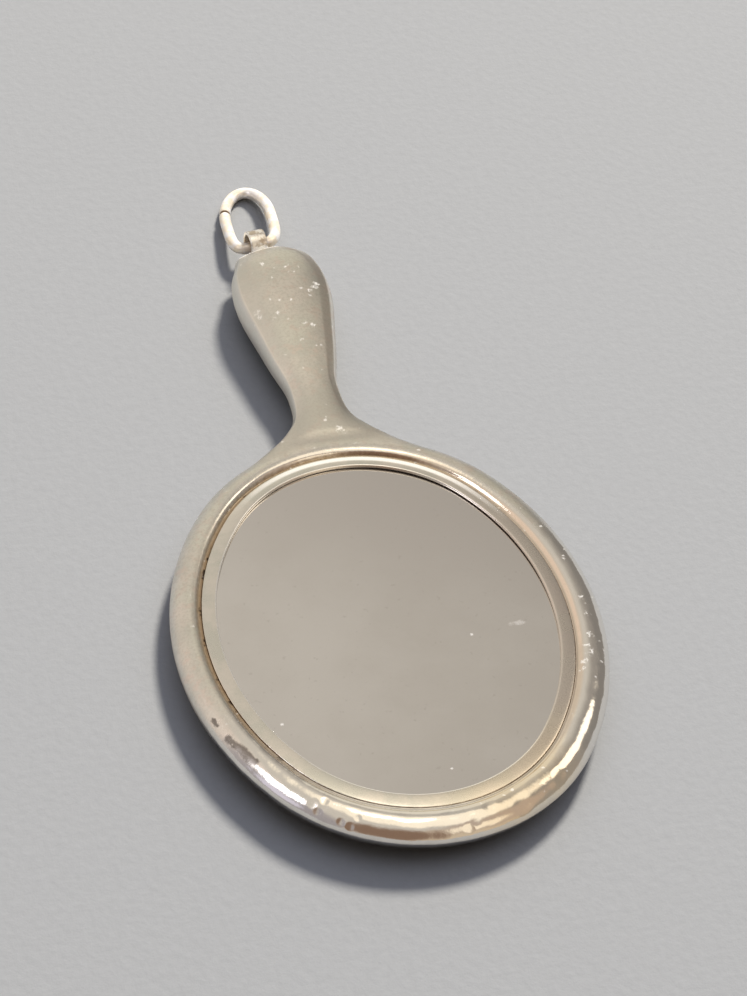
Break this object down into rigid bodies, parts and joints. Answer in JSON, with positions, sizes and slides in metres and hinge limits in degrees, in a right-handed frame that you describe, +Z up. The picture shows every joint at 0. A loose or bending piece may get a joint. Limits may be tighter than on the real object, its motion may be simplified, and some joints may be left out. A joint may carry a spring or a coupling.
{
  "type": "hand mirror pendant with jump ring",
  "caption": "Small silver pendant in the shape of an oval hand mirror with a bulbous handle, a soldered knuckle and a jump ring, lying on its back.",
  "frame": {"origin": "middle of the whole outline from above, at the height of the surface the pendant lies on", "axes": "+Y from the mirror's head along the handle to the jump ring, +Z up out of the mirror's face, +X across the head"},
  "size_m": [0.0288, 0.0638, 0.0041],
  "materials": {
    "satin_silver": "satin, worn, lightly tarnished silver",
    "polished_silver": "polished silver with a brown tarnished edge",
    "mirror": "old mirror glass, smudged",
    "bright_silver": "bright bent wire, worn smooth"
  },
  "bodies": {
    "root": {"handle_frame": "satin_silver", "bezel": "polished_silver", "mirror_glass": "mirror", "jump_ring": "bright_silver"}
  },
  "joints": []
}
